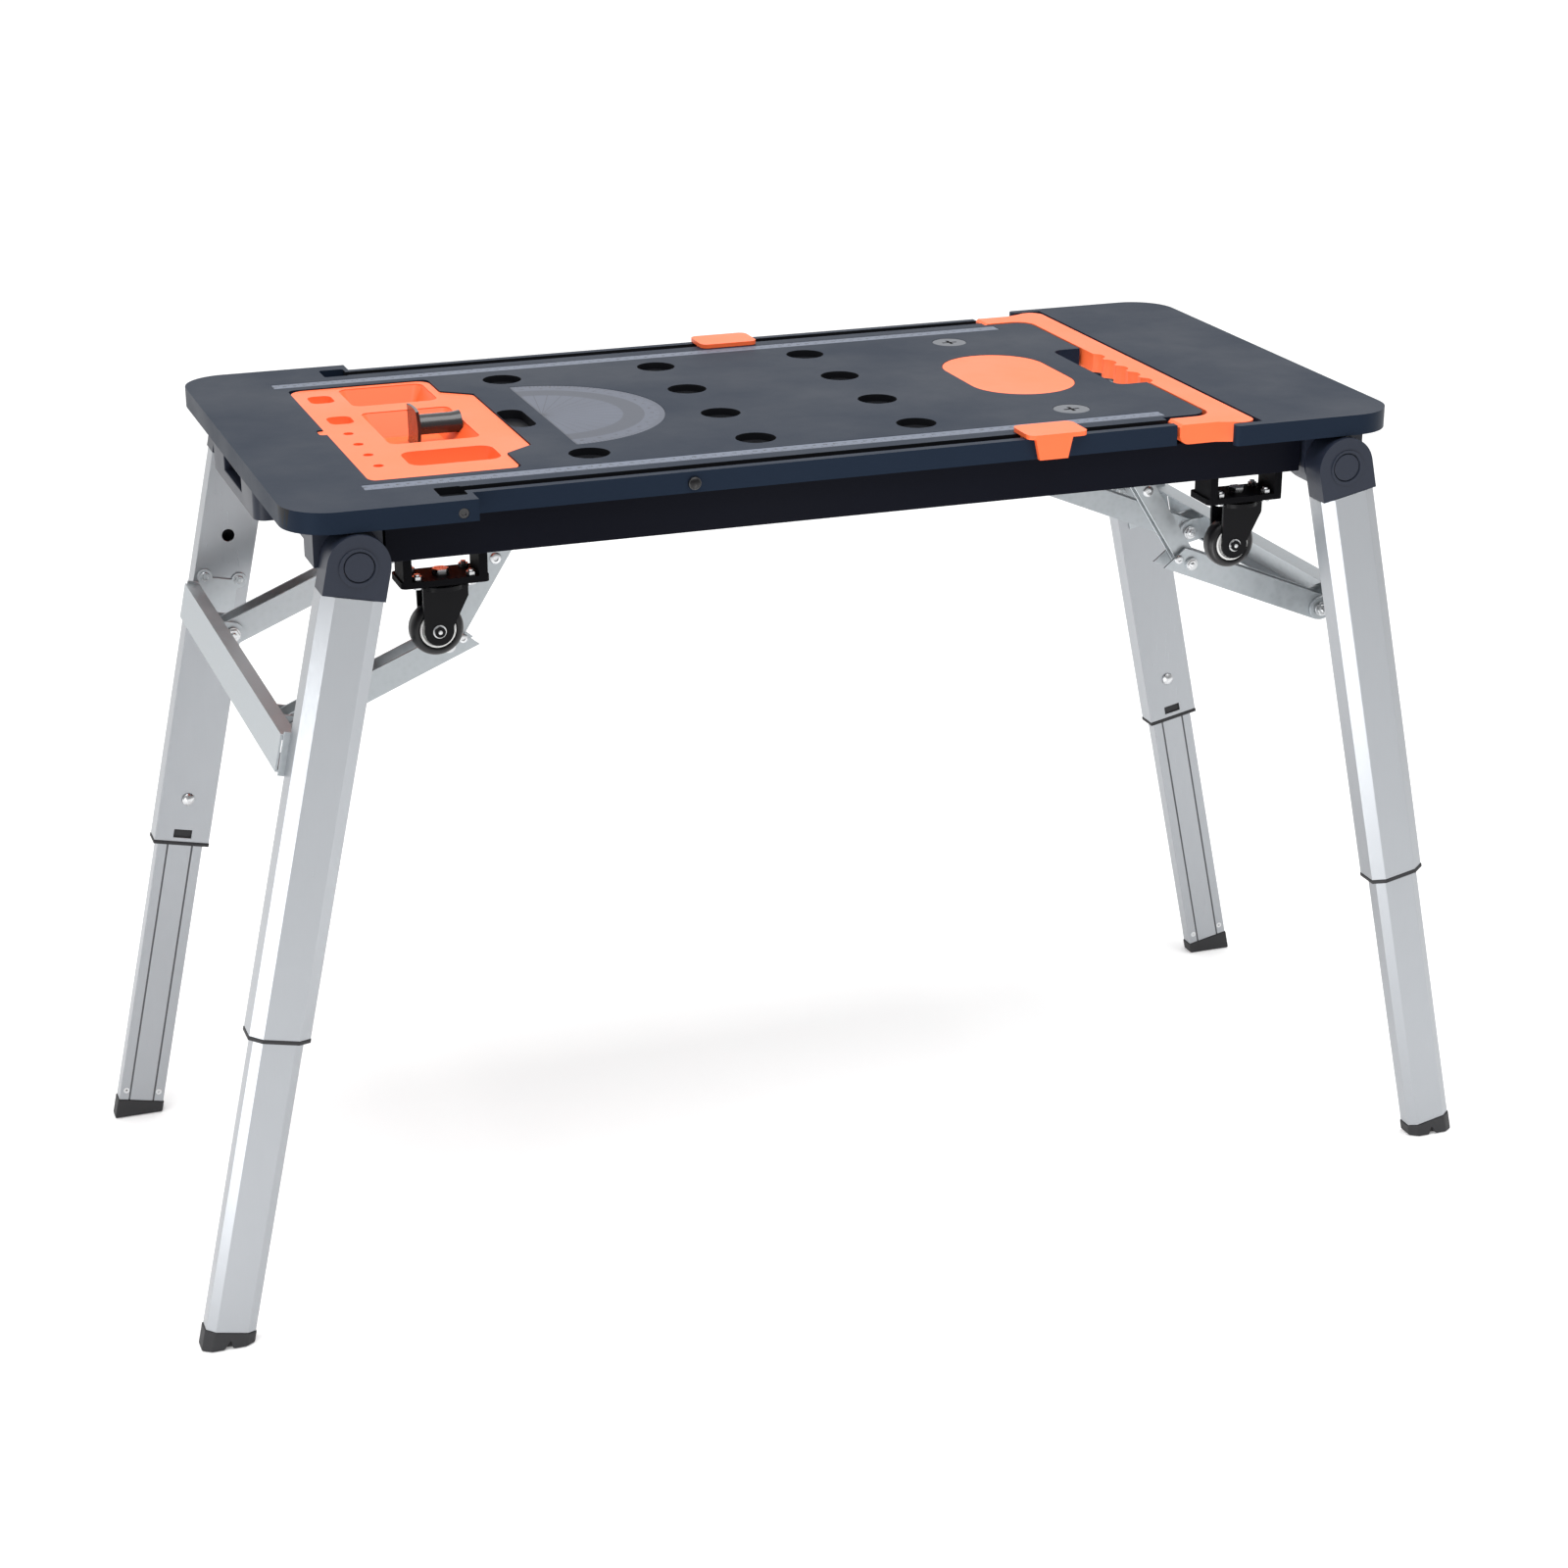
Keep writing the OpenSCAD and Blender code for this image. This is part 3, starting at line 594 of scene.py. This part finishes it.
def bench_dog():
    lo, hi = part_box("bench_dog")
    c = Vector((lo.x, (lo.y + hi.y) / 2, (lo.z + hi.z) / 2))
    n = 12
    front, back = [], []
    for loop, x0 in ((front, 0.0), (back, 3.2)):
        for k in range(4 * n):
            side, t = divmod(k, n)
            t = t / n * 2 - 1
            y, z = ((t, -1), (1, t), (-t, 1), (-1, -t))[side]
            dish = 2.2 * (abs(y * z)) ** 2
            loop.append((x0 + (2.2 - dish) * 0.8, y * 18.9, z * 18.9))
    v, f = loft([front, back])
    parts = [(v, f)]
    tube = [(11.4, 2.6), (11.4, 38), (11.9, 43), (12.8, 47.8), (10.6, 47.8), (9.2, 42), (8.8, 36), (8.8, 2.6)]
    tv, tf = lathe(tube, 30, math.radians(-35), math.radians(250))
    parts.append(([(h, r1, r2) for r1, r2, h in tv], tf))
    v, f = merged(parts)
    v = [c + Vector(p) * MM for p in v]
    mat = MAT["dog_plastic"]
    return make("bench_dog_shell", v, f, mat, "bench_dog", 0.5 * MM, ("bench_dog",), None, 2)


tray()
bench_dog()

# ---------------------------------------------------------------- leg frames

# The faces of the two grooves along the inner leg's outer face, painted grey as shade.
def in_shaded_groove(p, sx):
    u = (sx * p.x - HINGE.x) * math.cos(SPLAY) + (p.z - HINGE.z) * math.sin(SPLAY)
    return abs(abs(u) - 0.013) < 0.0012 and 0.2502 < abs(p.y) < 0.2515


for end, sx in (("left", -1), ("right", 1)):
    for side, sy in (("front", -1), ("rear", 1)):
        name = f"{end}_{side}_"
        soft_copy(name + "outer_leg", MAT["leg_" + end], 1.5 * MM, 3)
        inner = soft_copy(name + "inner_leg", MAT["leg_" + end], 0.5 * MM)
        dark_faces(inner, MAT["groove_shade"], lambda p: in_shaded_groove(p, sx))
        soft_copy(name + "foot", MAT["foot_rubber"], 1.6 * MM, 3)
        soft_copy(name + "fork", MAT["fork_paint"], 0.9 * MM, 3)
        soft_copy(name + "button", MAT["bolt_steel"], 0.3 * MM)
    soft_copy(end + "_knuckles", MAT["joint_plastic"], 1.2 * MM, 3)
    soft_copy(end + "_collars", MAT["foot_rubber"], 0.7 * MM)
    soft_copy(end + "_crossbar", MAT["zinc_steel"], 0.6 * MM, 3)
    soft_copy(end + "_crossbar_plates", MAT["zinc_steel"], 0.4 * MM)
    soft_copy(end + "_upper_stays", MAT["zinc_steel"], 0.6 * MM)
    soft_copy(end + "_lower_stays", MAT["zinc_steel"], 0.6 * MM)


def rivet(name, body, pos, direction, r=5.0, h=1.9):
    prof = [
        (0, 0), (r, 0), (r, 0.4), (r * 0.86, h * 0.75),
        (r * 0.6, h), (r * 0.42, h), (r * 0.36, h * 0.4), (0, h * 0.4),
    ]
    v, f = lathe([(a * MM, b * MM) for a, b in prof], 28)
    return make(name, v, f, MAT["bolt_steel"], body, 0, (), aimed(pos, direction))


def nut(name, body, pos, direction, r=6.5, h=5.0, stud=2.5):
    body_part = hexagon(r * MM, 0, h * MM, 0.0007)
    rim = r * 1.12 * MM
    washer = lathe([(0, -0.0002), (rim, -0.0002), (rim, 0.0009), (0, 0.0009)], 28)
    low = h * MM - 0.001
    end_z = (h + 1.7) * MM
    stud_end = [(stud * MM, (h + 1.2) * MM), (stud * 0.7 * MM, end_z), (0, end_z)]
    tip = lathe([(0, low), (stud * MM, low)] + stud_end, 20)
    v, f = merged([body_part, washer, tip])
    return make(name, v, f, MAT["bolt_steel"], body, 0.0003, (), aimed(pos, direction))


# ---------------------------------------------------------------- wheels

AXLE_END = 0.0141
# Half sections as (radius, height) in mm, from the wheel's middle plane outwards and mirrored.
TYRE_HALF = [(25, 2), (24.8, 4.5), (23.8, 6.9), (21.6, 8.8), (20.2, 9.5), (18.2, 9.5), (17, 8.3)]
HUB_HALF = [
    (16.98, 8.4), (16.6, 9.1), (15.2, 9.1), (14.4, 8.4), (13.6, 5.8),
    (7.4, 6.4), (7.2, 8.8), (6.6, 9.4), (3.2, 9.4),
]


def both_halves(half):
    """A closed section from the upper half: the mirrored lower half, the upper one, back to the start."""
    lower = [(r, -h) for r, h in reversed(half)]
    loop = lower + half
    return [(r * MM, h * MM) for r, h in loop + loop[:1]]


for end in ("left", "right"):
    for side, sy in (("front", -1), ("rear", 1)):
        name = f"{end}_{side}_"
        lo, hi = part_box(name + "tyre")
        c = (lo + hi) / 2
        body = name + "wheel"
        place = aimed(c, (0, 1, 0))
        v, f = lathe(both_halves(TYRE_HALF), 64)
        tyre, hub = (name + "tyre",), (name + "hub",)
        make(name + "tyre_ring", v, f, MAT["tyre_rubber"], body, 0, tyre, place, angle=60)
        v, f = lathe(both_halves(HUB_HALF), 56)
        make(name + "hub_disc", v, f, MAT["hub_plastic"], body, 0, hub, place, angle=40)
        for k in (-1, 1):
            where = "in" if k * sy < 0 else "out"
            spot = c + Vector((0, k * AXLE_END, 0))
            nut(f"{name}axle_nut_{where}", name + "fork", spot, (0, k, 0), 5.6, 2.3, 2.0)

# ---------------------------------------------------------------- rivets and bolts on the leg frames

# The lower stay's foot, along and across the leg, and the knee between the two stays, in metres.
STAY_FOOT_S = 0.187
STAY_FOOT_U = 0.006
KNEE_X = 0.385
KNEE_DROP = 0.170

for end, sx in (("left", -1), ("right", 1)):
    for side, sy in (("front", -1), ("rear", 1)):
        for i, u in enumerate((-18, 18)):
            p = leg_point(sx, u * MM, sy * 0.2432, 0.160)
            rivet(f"{end}_{side}_plate_rivet_{i}", end + "_legs", p, (0, -sy, 0), 5.0, 2.0)
        foot = leg_point(sx, STAY_FOOT_U, 0, STAY_FOOT_S)
        knee = Vector((sx * KNEE_X, 0, TOP - KNEE_DROP))
        along = (knee - foot).normalized()
        legs, lower = end + "_legs", end + "_lower_stays"
        outward, inward = (0, sy, 0), (0, -sy, 0)
        out_nut = foot + Vector((0, sy * 0.1681, 0))
        nut(f"{end}_{side}_foot_nut", legs, out_nut, outward, 6.6, 4.6, 3.0)
        in_nut = foot + Vector((0, sy * 0.1299, 0))
        nut(f"{end}_{side}_foot_nut_in", legs, in_nut, inward, 6.6, 3.0, 3.0)
        knee_nut = knee + Vector((0, sy * 0.1641, 0))
        nut(f"{end}_{side}_knee_nut", lower, knee_nut, outward, 5.4, 1.8, 2.0)
        knee_rivet = knee + along * 0.015 + Vector((0, sy * 0.162, 0))
        rivet(f"{end}_{side}_knee_rivet", lower, knee_rivet, outward, 4.6, 1.8)
        boss = Vector((sx * 0.336, sy * 0.157, TOP - 0.0915))
        rivet(f"{end}_{side}_stay_boss", end + "_upper_stays", boss, (0, sy, 0), 5.6, 2.0)
        for i, u in enumerate((-17.5, 17.5)):
            p = leg_point(sx, u * MM, sy * 0.2502, 0.744)
            rivet(f"{end}_{side}_foot_screw_{i}", f"{end}_{side}_inner_leg", p, (0, -sy, 0), 3.2, 0.5)

# ---------------------------------------------------------------- camera, floor and light

scene = bpy.context.scene
cam_data = bpy.data.cameras.new("camera")
cam = bpy.data.objects.new("camera", cam_data)
scene.collection.objects.link(cam)
yaw, pitch = 0.3494, 0.3629
look = Vector((math.sin(yaw) * math.cos(pitch), math.cos(yaw) * math.cos(pitch), -math.sin(pitch)))
cam.location = (-1.054, -2.911, TOP + 0.760)
cam.rotation_euler = look.to_track_quat("-Z", "Y").to_euler()
cam_data.lens = 72.9
cam_data.sensor_width = 36
cam_data.clip_end = 60
scene.camera = cam

floor_mat, nt, b = new_material("floor", (0.93, 0.93, 0.93), 0.0, 0.75)
b.inputs["Emission Color"].default_value = (1.0, 1.0, 1.0, 1.0)
b.inputs["Emission Strength"].default_value = 0.2
bumps(nt, b, [(noise(nt, 4, 3), 0.02, 0.002)])
fv = [(-14, -14, -0.0005), (14, -14, -0.0005), (14, 14, -0.0005), (-14, 14, -0.0005)]
fm = bpy.data.meshes.new("floor")
fm.from_pydata(fv, [], [[0, 1, 2, 3]])
fm.materials.append(floor_mat)
floor = bpy.data.objects.new("floor", fm)
scene.collection.objects.link(floor)

world = bpy.data.worlds.new("studio")
scene.world = world
world.use_nodes = True
wt = world.node_tree
sky = wt.nodes.new("ShaderNodeTexCoord")
axes = wt.nodes.new("ShaderNodeSeparateXYZ")
wt.links.new(sky.outputs["Generated"], axes.inputs[0])
back = map_range(wt, axes.outputs["Y"], -0.35, 0.25, 0.42, 1.06)
overhead = map_range(wt, axes.outputs["Z"], 0.25, 0.8, 0.0, 1.0)
wt.links.new(math_node(wt, "MAXIMUM", back, overhead), wt.nodes["Background"].inputs["Strength"])
wt.nodes["Background"].inputs["Color"].default_value = (1.0, 1.0, 1.0, 1.0)


def area(name, loc, target, size, power, shown=True):
    d = bpy.data.lights.new(name, "AREA")
    d.energy = power
    d.shape = "RECTANGLE"
    d.size, d.size_y = size
    o = bpy.data.objects.new(name, d)
    scene.collection.objects.link(o)
    o.location = loc
    o.rotation_euler = (Vector(target) - Vector(loc)).to_track_quat("-Z", "Y").to_euler()
    o.visible_camera = shown


area("overhead", (0.0, -0.6, 3.2), (0, 0, 0.5), (3.0, 2.0), 75)
for side, x in (("left", -1.15), ("right", 0.05)):
    area("card_" + side, (x, -0.68, 0.30), (x + 0.59, -0.29, 0.42), (0.30, 0.62), 2.2, False)

scene.view_settings.view_transform = "Standard"
scene.view_settings.look = "None"
scene.view_settings.exposure = 0.0
